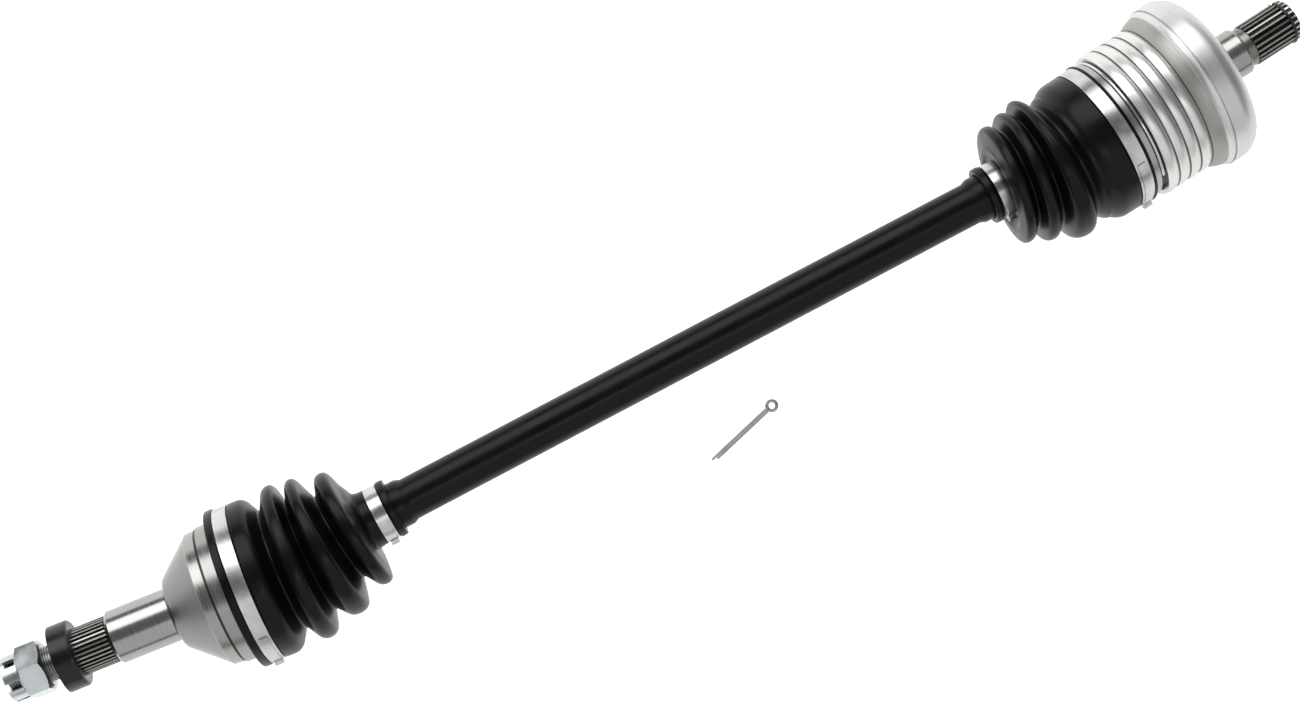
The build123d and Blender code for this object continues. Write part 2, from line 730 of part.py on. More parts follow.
def inset(points, walls):
    """A profile moved inwards square to itself, by one wall for each run; a crest too narrow gets one point."""
    slopes = [(end[1] - start[1]) / (end[0] - start[0]) for start, end in zip(points, points[1:])]
    lines = []
    for start, slope, wall in zip(points, slopes, walls):
        lines.append((slope, start[1] - slope * start[0] - wall * sqrt(1 + slope**2)))

    def crossing(first, second):
        distance = (second[1] - first[1]) / (first[0] - second[0])
        return distance, first[1] + first[0] * distance

    kept = [lines[0]]
    moved = [(points[0][0], lines[0][0] * points[0][0] + lines[0][1])]
    for line in lines[1:]:
        if line[0] == kept[-1][0]:
            continue
        point = crossing(kept[-1], line)
        if point[0] <= moved[-1][0] and len(moved) > 1:
            moved.pop()
            kept.pop()
            point = crossing(kept[-1], line)
        moved.append(point)
        kept.append(line)
    moved.append((points[-1][0], kept[-1][0] * points[-1][0] + kept[-1][1]))
    return moved


def rings(frame_at, profile):
    """One circle for each distance and radius of a profile."""
    sections = []
    for distance, radius in profile:
        with BuildSketch(station(frame_at(distance), distance)) as ring:
            Circle(radius)
        sections.append(ring.sketch)
    return sections


def boot(frame_at, seat, large_clamp, large_lip, small_clamp, small_lip, neck_length, folds):
    """Rubber boot from its large lip to its small lip, with a groove for each clamp."""
    large_half = large_clamp_width / 2 + clamp_groove_play
    small_half = small_clamp_width / 2 + clamp_groove_play
    groove = seat + boot_seat_wall
    neck = seat_radius + rubber_clearance + boot_neck_wall
    free_start = large_clamp + large_half
    neck_start = small_clamp - small_half - neck_length
    free_length = neck_start - free_start
    waves = []
    for share, drop, half in folds:
        middle = free_start + share * free_length
        waves.append((middle - half, groove - drop))
        waves.append((middle + half, groove - drop))
    outside = [
        (large_clamp - large_half - large_lip, groove + boot_lip_height),
        (large_clamp - large_half - groove_step, groove + boot_lip_height),
        (large_clamp - large_half, groove),
        (free_start, groove),
        *waves,
        (neck_start, neck),
        (small_clamp - small_half - groove_step, neck),
        (small_clamp - small_half, neck - small_clamp_groove),
        (small_lip, neck - small_clamp_groove),
        (small_lip + groove_step, neck + small_lip_height),
        (small_lip + small_lip_length, neck + small_lip_height),
    ]
    middle_line = [
        (large_clamp - large_half - large_lip - cut_margin, groove),
        (free_start, groove),
        *waves,
        (neck_start, neck),
        (small_lip + small_lip_length + cut_margin, neck),
    ]
    walls = [boot_seat_wall - rubber_clearance] + [boot_wall] * (len(middle_line) - 3) + [boot_neck_wall]
    with BuildPart() as rubber:
        loft(rings(frame_at, outside), ruled=True)
        loft(rings(frame_at, inset(middle_line, walls)), ruled=True, mode=Mode.SUBTRACT)
    return rubber.part


finish(
    boot(
        outer_boot_frame,
        bell_seat_radius,
        outer_large_clamp,
        outer_large_lip,
        outer_small_clamp,
        outer_small_lip,
        outer_neck_length,
        outer_folds,
    ),
    "outer_boot",
)
finish(
    boot(
        inner_boot_frame,
        housing_seat_radius,
        inner_large_clamp,
        inner_large_lip,
        inner_small_clamp,
        inner_small_lip,
        inner_neck_length,
        inner_folds,
    ),
    "inner_boot",
)


# ---------------------------------------------------------------- clamps
def clamp(frame, distance, groove_radius, width, tongue, ear):
    """Clamp: a closed band, the raised tongue that overlaps it, and the ear that closes it."""
    inside = groove_radius + fit_clearance
    outside = inside + clamp_thickness
    tongue_width = width * clamp_tongue_share
    middle = frame.origin + frame.x_dir * distance
    tongue_radial = track_direction(frame, tongue[0])
    ear_radial = track_direction(frame, ear)
    with BuildPart() as band:
        with BuildSketch(frame):
            with Locations((distance, (inside + outside) / 2)):
                Rectangle(width, clamp_thickness)
        revolve(axis=axis_of(frame))
        with BuildSketch(Plane(middle, x_dir=tongue_radial, z_dir=frame.x_dir.cross(tongue_radial))):
            with Locations((outside, 0)):
                Rectangle(2 * clamp_tongue_height, tongue_width)
        revolve(axis=Axis(middle, frame.x_dir), revolution_arc=tongue[1] - tongue[0])
        with BuildSketch(Plane(middle - frame.x_dir * tongue_width / 2, x_dir=ear_radial, z_dir=frame.x_dir)):
            with Locations((outside, 0)):
                SlotOverall(2 * clamp_ear_height, clamp_ear_length - 2 * clamp_ear_hole)
                with Locations((clamp_ear_height / 2, 0)):
                    Circle(clamp_ear_hole, mode=Mode.SUBTRACT)
            Circle(outside - clamp_thickness / 2, mode=Mode.SUBTRACT)
        extrude(amount=tongue_width)
    return band.part


outer_large_groove = bell_seat_radius + boot_seat_wall
inner_large_groove = housing_seat_radius + boot_seat_wall
small_groove = seat_radius + rubber_clearance + boot_neck_wall - small_clamp_groove
outer_end = outer_boot_frame(outer_small_clamp)
inner_end = inner_boot_frame(inner_small_clamp)
outer_start = outer_boot_frame(outer_large_clamp)
inner_start = inner_boot_frame(inner_large_clamp)

finish(
    clamp(
        outer_start, outer_large_clamp, outer_large_groove, large_clamp_width, outer_large_tongue, outer_large_ear
    ),
    "outer_boot_large_clamp",
)
finish(
    clamp(outer_end, outer_small_clamp, small_groove, small_clamp_width, outer_small_tongue, outer_small_ear),
    "outer_boot_small_clamp",
)
finish(
    clamp(
        inner_start, inner_large_clamp, inner_large_groove, large_clamp_width, inner_large_tongue, inner_large_ear
    ),
    "inner_boot_large_clamp",
)
finish(
    clamp(inner_end, inner_small_clamp, small_groove, small_clamp_width, inner_small_tongue, inner_small_ear),
    "inner_boot_small_clamp",
)

# ---------------------------------------------------------------- cotter pin, laid beside the axle
floor = -(rib_groove_radius + flange_height)
pin_frame = Plane(
    origin=(pin_place[0], pin_place[1], floor + pin_radius),
    x_dir=(cos(radians(pin_turn)), sin(radians(pin_turn)), 0),
    z_dir=(0, 0, 1),
)
pin_neck = (pin_length + pin_long_leg) / 2 - pin_eye_radius

with BuildPart() as cotter_pin:
    for side, leg_length in ((1, pin_length + pin_long_leg), (-1, pin_length)):
        with BuildSketch(station(pin_frame, pin_neck)):
            Circle(pin_radius)
            with Locations((side * (pin_slit / 2 - pin_radius), 0)):
                Rectangle(2 * pin_radius, 2 * pin_radius, mode=Mode.SUBTRACT)
        extrude(amount=-leg_length)
    with Locations(pin_frame.origin + pin_frame.x_dir * (pin_neck + pin_eye_radius)):
        Torus(pin_eye_radius, pin_eye_wire)
finish(cotter_pin.part, "cotter_pin")
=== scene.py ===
import bpy
import numpy as np
from mathutils import Matrix, Vector


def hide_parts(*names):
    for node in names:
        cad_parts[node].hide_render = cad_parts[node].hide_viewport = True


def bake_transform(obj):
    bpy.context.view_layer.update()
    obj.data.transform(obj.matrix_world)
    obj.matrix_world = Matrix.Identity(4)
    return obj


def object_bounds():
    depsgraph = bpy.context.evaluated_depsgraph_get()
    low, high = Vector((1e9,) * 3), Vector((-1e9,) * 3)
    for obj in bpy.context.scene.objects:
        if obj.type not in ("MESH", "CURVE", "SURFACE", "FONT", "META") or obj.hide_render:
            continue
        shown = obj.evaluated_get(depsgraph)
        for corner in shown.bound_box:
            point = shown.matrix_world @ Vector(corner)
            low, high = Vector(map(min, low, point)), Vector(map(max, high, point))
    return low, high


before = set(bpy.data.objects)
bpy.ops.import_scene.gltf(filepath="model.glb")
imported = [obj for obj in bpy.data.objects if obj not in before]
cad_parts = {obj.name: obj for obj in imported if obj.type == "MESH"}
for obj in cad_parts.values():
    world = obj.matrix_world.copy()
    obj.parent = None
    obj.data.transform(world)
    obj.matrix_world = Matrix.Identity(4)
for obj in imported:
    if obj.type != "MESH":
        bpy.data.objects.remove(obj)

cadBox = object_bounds()
mm = 0.001
print("frame loaded:", len(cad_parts), "nodes")

# The axle lies along X. Each joint turns about its own centre, and its housing leaves the bar's line by a bend.
axle = {
    "outerCentre": (-0.306, 0.0, 0.0),  # metres
    "innerCentre": (0.306, 0.0, 0.0),
    "outerBend": 5.9,  # degrees, towards +Y
    "innerBend": 4.9,
}


def signedVolume(points, faces):
    # Sum of the tetrahedra from the origin to each half face; it is positive when faces point outwards.
    flat = points.reshape(-1, 3)
    a, b, c, d = (flat[faces[:, corner]] for corner in range(4))
    return np.sum(a * np.cross(b, c)) + np.sum(a * np.cross(c, d))


def meshFromGrid(name, points):
    # Grid point [i, j] joins its four neighbours in quads; the grid closes round both i and j.
    rows, columns = points.shape[:2]
    i, j = np.meshgrid(np.arange(rows), np.arange(columns), indexing="ij")
    i, j = i.ravel(), j.ravel()
    nextI, nextJ = (i + 1) % rows, (j + 1) % columns
    faces = np.stack([i * columns + j, i * columns + nextJ, nextI * columns + nextJ, nextI * columns + j], axis=1)
    mesh = bpy.data.meshes.new(name)
    mesh.from_pydata(points.reshape(-1, 3).tolist(), [], faces.tolist())
    mesh.polygons.foreach_set("use_smooth", np.ones(len(mesh.polygons), dtype=bool))
    mesh.update()
    piece = bpy.data.objects.new(name, mesh)
    bpy.context.scene.collection.objects.link(piece)
    if signedVolume(points, faces) < 0:
        mesh.flip_normals()
    return piece


def roundedLine(corners, spacing):
    # Corners are (distance, radius, reach). Each corner becomes a parabola that leaves the straight runs
    # at its reach, or at half the run where that is shorter; the line is then spaced evenly.
    place = np.array([corner[:2] for corner in corners], float)
    reach = np.array([corner[2] for corner in corners], float)[1:-1, None]
    back, ahead = place[:-2] - place[1:-1], place[2:] - place[1:-1]
    backLength = np.linalg.norm(back, axis=1, keepdims=True)
    aheadLength = np.linalg.norm(ahead, axis=1, keepdims=True)
    cut = np.minimum(reach, np.minimum(backLength, aheadLength) / 2)
    start, end = place[1:-1] + back / backLength * cut, place[1:-1] + ahead / aheadLength * cut
    t = np.linspace(0, 1, 9)[:, None, None]
    bends = (1 - t) ** 2 * start + 2 * t * (1 - t) * place[1:-1] + t**2 * end
    line = np.concatenate([place[:1], bends.transpose(1, 0, 2).reshape(-1, 2), place[-1:]])
    step = np.linalg.norm(np.diff(line, axis=0), axis=1)
    line = line[np.concatenate([[True], step > 1e-6])]
    along = np.concatenate([[0], np.cumsum(np.linalg.norm(np.diff(line, axis=0), axis=1))])
    even = np.linspace(0, along[-1], max(int(along[-1] / spacing), 2))
    return np.stack([np.interp(even, along, line[:, 0]), np.interp(even, along, line[:, 1])], axis=1)


def innerLine(outside, wall, distances):
    # The line that a disc as thick as the wall leaves when it rolls inside: the lowest point of all its places.
    shift = outside[None, :, 0] - distances[:, None]
    under = np.sqrt(np.clip(wall**2 - shift**2, 0, None))
    low = np.where(np.abs(shift) <= wall, outside[None, :, 1] - under, np.inf)
    return np.stack([distances, low.min(axis=1)], axis=1)


def sweptRings(boot, profile, columns):
    # A ring for each profile point: it stands at its distance on a line from the centre whose angle eases
    # from the housing's to the bar's between the two bend distances, and it leans past square to that line
    # by a share that grows over the lean distances, and that is nothing on the neck.
    distance, radius = profile[:, 0], profile[:, 1]

    def eased(value, low, high):
        share = np.clip((value - low) / (high - low), 0, 1)
        return share**2 * (3 - 2 * share)

    noLean, fullLean = boot["leanRadius"]
    leanShare = np.clip((radius - noLean) / (fullLean - noLean), 0, 1)
    angle = boot["angles"][0] + (boot["angles"][1] - boot["angles"][0]) * eased(distance, *boot["bend"])
    lean = boot["lean"] * eased(distance, *boot["leanReach"]) * leanShare
    angle, tilted = np.radians(angle)[:, None], np.radians(angle + lean)[:, None]
    turn = np.linspace(0, 2 * np.pi, columns, endpoint=False)[None, :]
    out = radius[:, None] * np.cos(turn)
    x = distance[:, None] * np.cos(angle) - out * np.sin(tilted)
    y = distance[:, None] * np.sin(angle) + out * np.cos(tilted)
    z = radius[:, None] * np.sin(turn) + 0 * angle
    return np.array(boot["centre"]) + np.stack([x, y, z], axis=2) * mm


def linearColour(hexColour):
    # sRGB hex to linear light
    value = np.array([int(hexColour[k:k + 2], 16) / 255 for k in (1, 3, 5)])
    linear = np.where(value <= 0.04045, value / 12.92, ((value + 0.055) / 1.055) ** 2.4)
    return (*linear.tolist(), 1.0)


def addNode(tree, kind, inputs, stops=(), between="LINEAR", **settings):
    # One node. An input is a value or another node's output; stops are a colour ramp's (position, colour).
    node = tree.nodes.new(kind)
    for name, value in settings.items():
        setattr(node, name, value)
    for socket, value in inputs.items():
        if isinstance(value, bpy.types.NodeSocket):
            tree.links.new(value, node.inputs[socket])
        else:
            node.inputs[socket].default_value = value
    if stops:
        node.color_ramp.interpolation = between
        elements = node.color_ramp.elements
        while len(elements) < len(stops):
            elements.new(0.5)
        for element, (position, colour) in zip(elements, stops):
            element.position, element.color = position, colour
    return node


def startMaterial(name, **sockets):
    # Sockets are the shader's constants, with _ for a space; place is the point on the object, in metres.
    material = bpy.data.materials.new(name)
    material.use_nodes = True
    tree = material.node_tree
    shader = tree.nodes["Principled BSDF"]
    for socket, value in sockets.items():
        shader.inputs[socket.replace("_", " ")].default_value = value
    place = addNode(tree, "ShaderNodeTexCoord", {}).outputs["Object"]
    return material, tree, shader, place


def dressShader(tree, shader, colour, roughness, height, strength, depth):
    # The surface's colour, its roughness, and its height as bump of the given depth in mm.
    bump = addNode(tree, "ShaderNodeBump", {"Strength": strength, "Distance": depth * mm, "Height": height})
    tree.links.new(colour, shader.inputs["Base Color"])
    tree.links.new(roughness, shader.inputs["Roughness"])
    tree.links.new(bump.outputs[0], shader.inputs["Normal"])


def zoneValues(tree, along, zones):
    # One constant colour and roughness for each stretch of the axis, from where the zone starts.
    first, last = zones[0][0], zones[-1][0] + 50  # mm, the last zone runs on past the part's end
    share = addNode(tree, "ShaderNodeMapRange", {
        "Value": along, "From Min": first * mm, "From Max": last * mm, "To Min": 0.0, "To Max": 1.0}).outputs[0]
    places = [(start - first) / (last - first) for start, _, _ in zones]
    colours = [linearColour(colour) for _, colour, _ in zones]
    roughness = [(rough, rough, rough, 1.0) for _, _, rough in zones]
    return [
        addNode(tree, "ShaderNodeValToRGB", {0: share}, list(zip(places, values)), "CONSTANT").outputs[0]
        for values in (colours, roughness)
    ]


def paintedRootShade(tree, offset, away, along, spline):
    # Painted shade between a spline's teeth: the share of the colour left falls with the distance from the axis, tip
    # to root.
    across = addNode(tree, "ShaderNodeVectorMath", {0: offset, 1: away}, operation="CROSS_PRODUCT").outputs[0]
    radius = addNode(tree, "ShaderNodeVectorMath", {0: across}, operation="LENGTH").outputs["Value"]
    depth = addNode(tree, "ShaderNodeMapRange", {
        "Value": radius, "From Min": spline["root"] * mm, "From Max": spline["tip"] * mm,
        "To Min": spline["shade"], "To Max": 1.0}).outputs[0]
    after = addNode(tree, "ShaderNodeMath", {0: along, 1: spline["start"] * mm}, operation="GREATER_THAN").outputs[0]
    before = addNode(tree, "ShaderNodeMath", {0: along, 1: spline["end"] * mm}, operation="LESS_THAN").outputs[0]
    inside = addNode(tree, "ShaderNodeMath", {0: after, 1: before}, operation="MULTIPLY").outputs[0]
    return addNode(tree, "ShaderNodeMix", {"Factor": inside, "A": 1.0, "B": depth}, data_type="FLOAT").outputs[0]


def turnedMetal(name, surface):
    # Metal turned on a lathe: rings square to the axis, noise of the distance along it, in tint, roughness
    # and height. They stretch the highlights round the part.
    material, tree, shader, place = startMaterial(name, Metallic=1.0)
    away = surface["away"]
    offset = addNode(tree, "ShaderNodeVectorMath", {0: place, 1: surface["centre"]}, operation="SUBTRACT").outputs[0]
    along = addNode(tree, "ShaderNodeVectorMath", {0: offset, 1: away}, operation="DOT_PRODUCT").outputs["Value"]
    count = addNode(tree, "ShaderNodeMath", {0: along, 1: 1 / (surface["ringWidth"] * mm)}, operation="MULTIPLY")
    rings = addNode(tree, "ShaderNodeTexNoise", {
        "W": count.outputs[0], "Scale": 1.0, "Detail": 2.0, "Roughness": 0.6}, noise_dimensions="1D").outputs[0]
    clouds = addNode(tree, "ShaderNodeTexNoise", {
        "Vector": place, "Scale": 45.0, "Detail": 3.0}).outputs[0]  # 22 mm across
    mixed = addNode(tree, "ShaderNodeMath", {0: rings, 1: clouds}, operation="ADD").outputs[0]
    shade = addNode(tree, "ShaderNodeMapRange", {
        "Value": mixed, "From Min": 0.7, "From Max": 1.3, "To Min": 0.93, "To Max": 1.05}).outputs[0]
    # between a spline's teeth the tint is darkened towards the root: painted shade
    if "spline" in surface:
        paintedToothShade = paintedRootShade(tree, offset, away, along, surface["spline"])
        shade = addNode(tree, "ShaderNodeMath", {0: shade, 1: paintedToothShade}, operation="MULTIPLY").outputs[0]
    colour, roughness = zoneValues(tree, along, surface["zones"])
    tint = addNode(tree, "ShaderNodeVectorMath", {0: colour, 3: shade}, operation="SCALE").outputs[0]
    uneven = addNode(tree, "ShaderNodeMapRange", {
        "Value": rings, "From Min": 0.3, "From Max": 0.7, "To Min": 0.85, "To Max": 1.2}).outputs[0]
    rough = addNode(tree, "ShaderNodeMath", {0: roughness, 1: uneven}, operation="MULTIPLY").outputs[0]
    dressShader(tree, shader, tint, rough, rings, 0.25, surface["ringDepth"])
    return material


def speckledMaterial(name, colours, roughness, grain, grainDepth, metallic=0.0, **sockets):
    # A coat, moulding or drawn surface: faint clouds in colour and roughness, fine grain in height. A real
    # grain is some hundredths of a millimetre, so it is drawn coarser, at the finest size that shows.
    material, tree, shader, place = startMaterial(name, Metallic=metallic, **sockets)
    clouds = addNode(tree, "ShaderNodeTexNoise", {
        "Vector": place, "Scale": 60.0, "Detail": 4.0}).outputs[0]  # 17 mm across
    fine = addNode(tree, "ShaderNodeTexNoise", {"Vector": place, "Scale": 1 / (grain * mm), "Detail": 2.0}).outputs[0]
    tint = addNode(tree, "ShaderNodeValToRGB", {0: clouds}, [
        (0.35, linearColour(colours[0])), (0.65, linearColour(colours[1]))]).outputs[0]
    rough = addNode(tree, "ShaderNodeMapRange", {
        "Value": clouds, "From Min": 0.3, "From Max": 0.7,
        "To Min": roughness[0], "To Max": roughness[1]}).outputs[0]
    dressShader(tree, shader, tint, rough, fine, 0.3, grainDepth)
    return material


# Zinc plate on a forged nut: cool pale silver, clear reflections broken by soft clouds.
brightZinc = speckledMaterial("brightZincPlate", ("#b4babd", "#cfd4d6"), (0.2, 0.34), 0.5, 0.01, metallic=1.0)
# Aged zinc on drawn wire: an even grey with a soft shine.
pinZinc = speckledMaterial("dullZincWire", ("#8d9293", "#a9adae"), (0.3, 0.4), 0.5, 0.01, metallic=1.0)
# Oiled phosphate on a turned washer: near black, with a broad shine along its rims.
blackWasher = speckledMaterial(
    "blackPhosphatedSteel", ("#0b0b0e", "#121216"), (0.24, 0.34), 0.4, 0.02, Specular_IOR_Level=0.35)
# Moulded rubber: deep black, with the wide faint sheen of a satin mould.
bootRubber = speckledMaterial(
    "mouldedChloropreneRubber", ("#060607", "#0a0a0c"), (0.27, 0.35), 0.7, 0.015, Specular_IOR_Level=0.17)
# Dipped enamel on a drawn bar: deep black, with one long clear highlight.
barEnamel = speckledMaterial(
    "glossBlackEnamel", ("#050505", "#080909"), (0.26, 0.34), 1.5, 0.01, Specular_IOR_Level=0.17)
# Rolled stainless strip: bright grey, slightly blurred reflections.
clampSteel = speckledMaterial("bandStainlessSteel", ("#aeb0b1", "#cdcecf"), (0.22, 0.36), 0.6, 0.01, metallic=1.0)
# Black oxide on spring steel: charcoal, hardly shiny.
blackSpring = speckledMaterial("blackOxideSpringSteel", ("#0e0e0f", "#17171a"), (0.3, 0.42), 0.4, 0.01)
# Bright drawn wire: thin sharp highlights.
brightWire = speckledMaterial("drawnSpringWire", ("#b9bbbd", "#d0d1d3"), (0.18, 0.3), 0.5, 0.01, metallic=1.0)
# Ground and hardened steel: mid grey, clean reflections.
groundSteel = speckledMaterial("groundBearingSteel", ("#8a8b8d", "#9c9da0"), (0.2, 0.32), 0.4, 0.01, metallic=1.0)
# Polished balls: nearly a mirror.
ballSteel = speckledMaterial("polishedBallSteel", ("#b9babc", "#cacbcd"), (0.06, 0.12), 0.4, 0.005, metallic=1.0)

# The three turned parts. Zones are (start in mm from the joint's centre, colour, roughness). Real lathe rings
# are about 0.2 mm apart, too fine to show, so they are drawn eight or nine times as wide.
outerTurn, innerTurn = np.radians(axle["outerBend"]), np.radians(axle["innerBend"])
bellSurface = {
    "centre": axle["outerCentre"],
    "away": (-np.cos(outerTurn), np.sin(outerTurn), 0.0),
    "ringWidth": 1.6,  # mm
    "ringDepth": 0.015,
    "zones": [
        # the dark band from 14.8 to 16.1 mm is painted shade in the groove there
        (-60, "#828281", 0.36), (7, "#969694", 0.26), (14.8, "#3c3c3b", 0.4), (16.1, "#9c9c9a", 0.24),
        (22.6, "#868685", 0.2), (45.2, "#a0a09f", 0.2), (84.8, "#a09e99", 0.32), (105.4, "#a3a3a1", 0.28),
    ],
    # painted shade between the teeth: the colour falls to 5% at the root
    "spline": {"start": 84.8, "end": 105.2, "root": 13.2, "tip": 14.5, "shade": 0.05},
}
housingSurface = {
    "centre": axle["innerCentre"],
    "away": (np.cos(innerTurn), np.sin(innerTurn), 0.0),
    "ringWidth": 1.6,
    "ringDepth": 0.015,
    "zones": [
        (-60, "#6b6a67", 0.34), (-22.3, "#a3a2a0", 0.26), (-18.5, "#4c4b48", 0.4), (0, "#7b7a77", 0.34),
        (56, "#9b9a98", 0.22), (72.6, "#7a7977", 0.3), (77.7, "#908e8a", 0.32), (105.2, "#c3c2c0", 0.3),
    ],
    # painted shade between the teeth: the colour falls to 5% at the root
    "spline": {"start": 77.7, "end": 109.4, "root": 12.3, "tip": 13.5, "shade": 0.05},
}
sleeveSurface = {
    "centre": axle["innerCentre"],
    "away": housingSurface["away"],
    "ringWidth": 1.8,
    "ringDepth": 0.015,
    "zones": [(-60, "#d6d6d4", 0.36)],
}
for groove in (-7.5, 0.4, 8.3, 16.2):  # painted shade: a dark line in the groove at the foot of each rib
    sleeveSurface["zones"] += [(groove - 0.85, "#5f5f5d", 0.45), (groove + 0.1, "#d6d6d4", 0.36)]
sleeveSurface["zones"] += [(16.3, "#a09f9b", 0.46), (24.6, "#cfcfcf", 0.42)]

# Forged steel, turned: satin greys in bands, each with its own feed, with painted shade in one groove and between the
# spline's teeth.
bellSteel = turnedMetal("turnedForgedSteel", bellSurface)
# The same, with a coarser finish and painted shade in the hollows between the teeth.
housingSteel = turnedMetal("turnedStubSteel", housingSurface)
# Cast aluminium, turned: paler and whiter than steel, with soft broad highlights and painted shade in the rib
# grooves.
sleeveAluminium = turnedMetal("turnedCastAluminium", sleeveSurface)

finishes = {
    "castle_nut": brightZinc,
    "cotter_pin": pinZinc,
    "hub_washer": blackWasher,
    "axle_bar": barEnamel,
    "outer_bell": bellSteel,
    "inner_housing": housingSteel,
    "finned_sleeve": sleeveAluminium,
    "sleeve_snap_ring": brightWire,
    "ball_stop_ring": blackSpring,
    "stub_circlip": blackSpring,
}
for end in ("outer", "inner"):
    finishes[f"{end}_race_circlip"] = blackSpring
    for size in ("large", "small"):
        finishes[f"{end}_boot_{size}_clamp"] = clampSteel
    for part in ("race", "cage"):
        finishes[f"{end}_joint_{part}"] = groundSteel
    for part in ("balls", "lead_ball", "follow_ball"):
        finishes[f"{end}_joint_{part}"] = ballSteel
for node, material in finishes.items():
    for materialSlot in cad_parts[node].material_slots:
        materialSlot.material = material
print("materials set on", len(finishes), "nodes")

# Distances run from the joint's centre towards the bar. All lengths are in mm.
bootMesh = {"lineStep": 0.55, "insideStep": 1.1, "columns": 144}
outerBoot = {
    "name": "outerBootRubber",
    "node": "outer_boot",
    "centre": axle["outerCentre"],
    "angles": (-axle["outerBend"], 0.0),
    "bend": (8.0, 75.0),
    "lean": 5.0,  # degrees, the rings of the narrow folds stand this far from square
    "leanReach": (34.0, 62.0),
    "leanRadius": (18.0, 28.0),  # none inside the first, all of it past the second
    "start": -7.15,
    "end": 99.4,
    "wall": 1.9,
    "seat": 45.2,
    "seatEnd": 8.0,
    "neckBore": 14.7,
    "neckStart": 80.0,
    "corners": [  # distance, radius, how far the rounding reaches
        (-7.15, 48.4, 0), (-6.6, 49.6, 0.6), (-3.0, 49.6, 0.7), (-2.15, 49.2, 0.5), (-2.05, 47.8, 0.2),
        (7.05, 47.8, 0.3), (7.9, 48.8, 1.0), (16.7, 48.8, 6.0),
        (23.1, 37.8, 1.6), (24.7, 37.8, 1.6), (30.6, 49.1, 9.0), (38.0, 49.1, 9.0),
        (41.5, 35.9, 1.4), (42.9, 35.9, 1.4), (48.4, 45.4, 9.0), (56.0, 45.4, 9.0),
        (61.4, 28.3, 1.6), (63.0, 28.3, 1.6), (68.2, 38.8, 9.0), (75.4, 38.8, 9.0),
        (79.8, 18.6, 3.0), (83.0, 17.7, 2.0), (86.25, 17.7, 0.3), (86.35, 16.6, 0.2),
        (94.7, 16.6, 0.2), (94.8, 18.0, 0.6), (96.8, 18.3, 1.0), (99.4, 17.9, 0),
    ],
    "cuts": (28.5, 42.2, 57.3),
    "blends": ((9.0, 28.5), (28.5, 42.2), (42.2, 57.3), (57.3, 72.0)),  # each part's bend stretch; only a line along it is worked out, and nothing uses it
    "bodies": ("outer_hub", "outer_follow", "outer_cage", "outer_lead", "shaft"),
}
innerBoot = {
    "name": "innerBootRubber",
    "node": "inner_boot",
    "centre": axle["innerCentre"],
    "angles": (180 + axle["innerBend"], 180.0),
    "bend": (44.0, 95.0),
    "lean": -5.5,
    "leanReach": (60.0, 80.0),
    "leanRadius": (18.0, 28.0),
    "start": 22.4,
    "end": 110.6,
    "wall": 1.9,
    "seat": 43.5,
    "seatEnd": 34.0,
    "neckBore": 14.7,
    "neckStart": 96.4,
    "corners": [
        (22.4, 47.0, 0), (22.8, 47.9, 0.5), (23.8, 47.9, 0.4), (24.15, 47.6, 0.3), (24.25, 46.1, 0.2),
        (33.35, 46.1, 0.3), (34.0, 46.8, 1.0), (45.4, 46.8, 5.0),
        (51.2, 42.6, 3.0), (52.8, 42.5, 3.0), (57.3, 38.3, 1.8), (59.0, 38.3, 1.8),
        (63.9, 46.8, 9.0), (71.3, 46.8, 9.0), (74.6, 35.4, 1.2), (76.0, 35.4, 1.2),
        (79.0, 41.8, 9.0), (84.9, 41.8, 9.0), (87.0, 31.4, 1.2), (88.4, 31.4, 1.2),
        (91.9, 37.7, 9.0), (97.6, 37.7, 9.0), (99.6, 24.6, 5.0), (96.75, 20.2, 2.0),
        (96.85, 17.9, 0.5), (97.05, 16.6, 0.2), (105.9, 16.6, 0.3), (106.0, 18.0, 0.6),
        (108.0, 18.3, 1.0), (110.6, 17.9, 0),
    ],
    "cuts": (56.1, 68.5, 77.5, 86.0),
    "blends": ((34.0, 56.0), (56.2, 68.4), (68.5, 77.5), (77.5, 86.0), (86.0, 96.2)),
    "bodies": ("inner_housing", "inner_plunge", "inner_follow", "inner_cage", "inner_lead", "shaft"),
}


def bootPieces(boot):
    # The boot is cut across into parts. Its profile runs out along the outside and back along the inside, which is a
    # wall lower or on its seat.
    outside = roundedLine(boot["corners"], bootMesh["lineStep"])
    bounds = (boot["start"], *boot["cuts"], boot["end"])
    for number, (low, high) in enumerate(zip(bounds, bounds[1:])):
        within = outside[(outside[:, 0] > low + 1e-6) & (outside[:, 0] < high - 1e-6)]
        lowEnd, highEnd = [(edge, np.interp(edge, outside[:, 0], outside[:, 1])) for edge in (low, high)]
        outer = np.concatenate([[lowEnd], within, [highEnd]])
        rings = int((high - low) / bootMesh["insideStep"]) + 2
        inner = innerLine(outside, boot["wall"], np.linspace(high, low, rings))
        inner[:, 1] = np.maximum(inner[:, 1], boot["neckBore"])
        inner[inner[:, 0] < boot["seatEnd"], 1] = boot["seat"]
        inner[inner[:, 0] > boot["neckStart"], 1] = boot["neckBore"]
        points = sweptRings(boot, np.concatenate([outer, inner]), bootMesh["columns"])
        piece = meshFromGrid(f"{boot['name']}_{number + 1}", points)
        piece.data.materials.append(bootRubber)
        blendStart, blendEnd = boot["blends"][number]
        line = sweptRings(boot, np.array([[blendStart, 0.0], [blendEnd, 0.0]]), 1)[:, 0]
        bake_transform(piece)
        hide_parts(boot["node"])


bootPieces(outerBoot)
bootPieces(innerBoot)
print("boots made")

paperFloor = {
    "size": 12.0,  # metres
    "drop": 45.0,  # mm under the axle, room for the stub as it tilts down
    "colour": "#f4f4f3",
    "glow": 0.6,
}


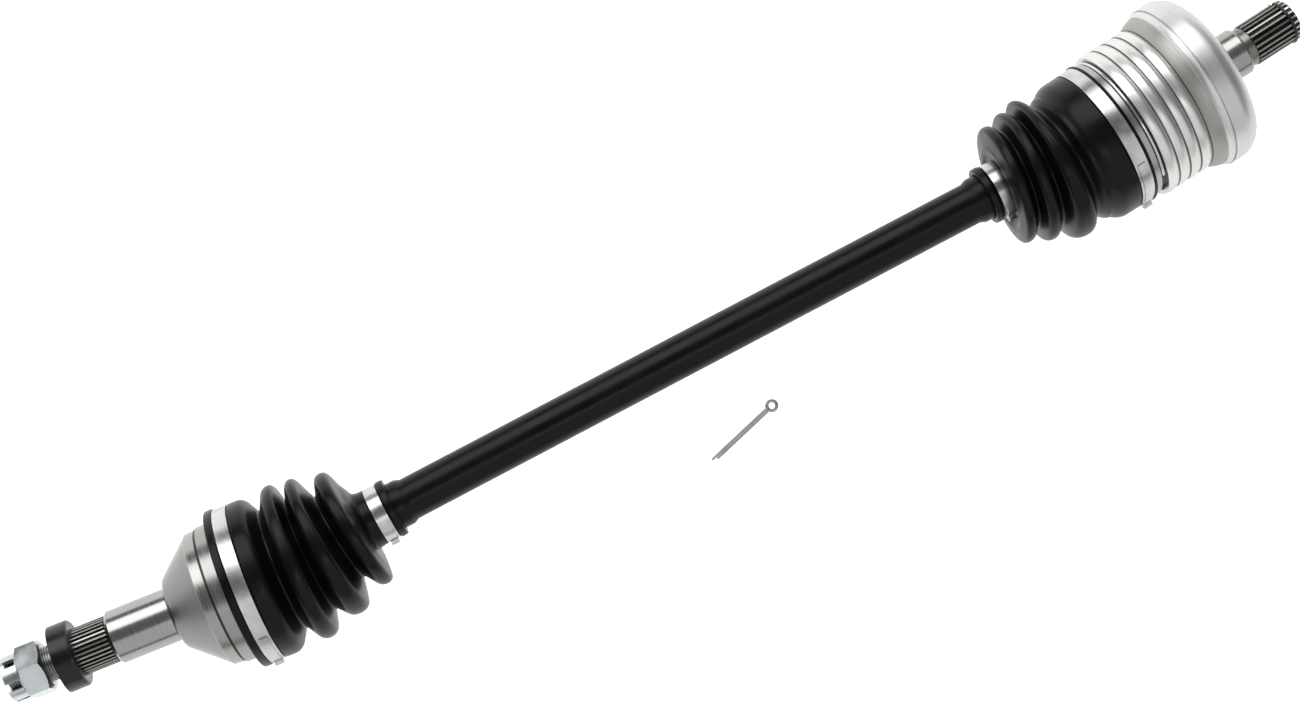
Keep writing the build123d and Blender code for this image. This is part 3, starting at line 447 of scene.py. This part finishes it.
def makeFloor(height):
    # Matt paper roll: flat white without reflections.
    half = paperFloor["size"] / 2
    corners = [(-half, -half, height), (half, -half, height), (half, half, height), (-half, half, height)]
    mesh = bpy.data.meshes.new("paperFloor")
    mesh.from_pydata(corners, [], [(0, 1, 2, 3)])
    mesh.materials.append(speckledMaterial(
        "whiteBackdropPaper", (paperFloor["colour"], paperFloor["colour"]), (0.75, 0.8), 2.0, 0.01,
        Emission_Color=linearColour(paperFloor["colour"]), Emission_Strength=paperFloor["glow"]))
    floor = bpy.data.objects.new("paperFloor", mesh)
    bpy.context.scene.collection.objects.link(floor)


# Three soft boxes, aimed at the middle of the bar: sizes in metres, the length along X.
softboxes = [
    {"place": (0.0, 1.25, 1.0), "length": 3.2, "width": 1.1, "radiance": 2.8},
    {"place": (0.0, -1.2, 1.1), "length": 3.2, "width": 2.1, "radiance": 0.7},
    {"place": (0.0, -0.36, 1.18), "length": 0.9, "width": 0.06, "radiance": 6.0},
]
room = {"colour": "#ffffff", "strength": 0.2}  # even light from all round


def makeLight(name, box):
    light = bpy.data.lights.new(name, "AREA")
    light.shape = "RECTANGLE"
    light.size, light.size_y = box["length"], box["width"]
    light.energy = box["radiance"] * np.pi * box["length"] * box["width"]  # watts
    holder = bpy.data.objects.new(name, light)
    bpy.context.scene.collection.objects.link(holder)
    holder.location = box["place"]
    holder.rotation_euler = (-Vector(box["place"])).to_track_quat("-Z", "Y").to_euler()


def makeRoom():
    world = bpy.data.worlds.new("studioWorld")
    world.use_nodes = True
    background = world.node_tree.nodes["Background"]
    background.inputs["Color"].default_value = linearColour(room["colour"])
    background.inputs["Strength"].default_value = room["strength"]
    bpy.context.scene.world = world


camera = {
    "aim": (-0.02810, 0.01134, 0.0),  # metres
    "distance": 1.4,
    "tilt": 3.4,  # degrees, the gearbox end is the far one
    "roll": 27.682,  # degrees from the frame's lower edge to the bar
    "focal": 64.37,  # mm on a 36 mm sensor
}


def makeCamera():
    # It looks down along forward, and its right is the level direction turned by the roll, squared to forward.
    tilt, roll = np.radians(camera["tilt"]), np.radians(camera["roll"])
    forward = Vector((np.sin(tilt), 0, -np.cos(tilt)))
    right = Vector((np.cos(roll), -np.sin(roll), 0))
    right = (right - forward * right.dot(forward)).normalized()
    up = right.cross(forward)
    place = Vector(camera["aim"]) - forward * camera["distance"]
    holder = bpy.data.objects.new("mainCamera", bpy.data.cameras.new("mainCamera"))
    bpy.context.scene.collection.objects.link(holder)
    holder.data.sensor_width = 36
    holder.data.sensor_fit = "HORIZONTAL"
    holder.data.lens = camera["focal"]
    holder.data.clip_start = 0.05
    holder.matrix_world = Matrix.LocRotScale(place, Matrix((right, up, -forward)).transposed(), None)
    bpy.context.scene.camera = holder


makeFloor(cadBox[0][2] - paperFloor["drop"] * mm)
for number, box in enumerate(softboxes):
    makeLight(f"softbox{number}", box)
makeRoom()
makeCamera()
bpy.context.scene.view_settings.view_transform = "Standard"
print("floor, lights and camera set")
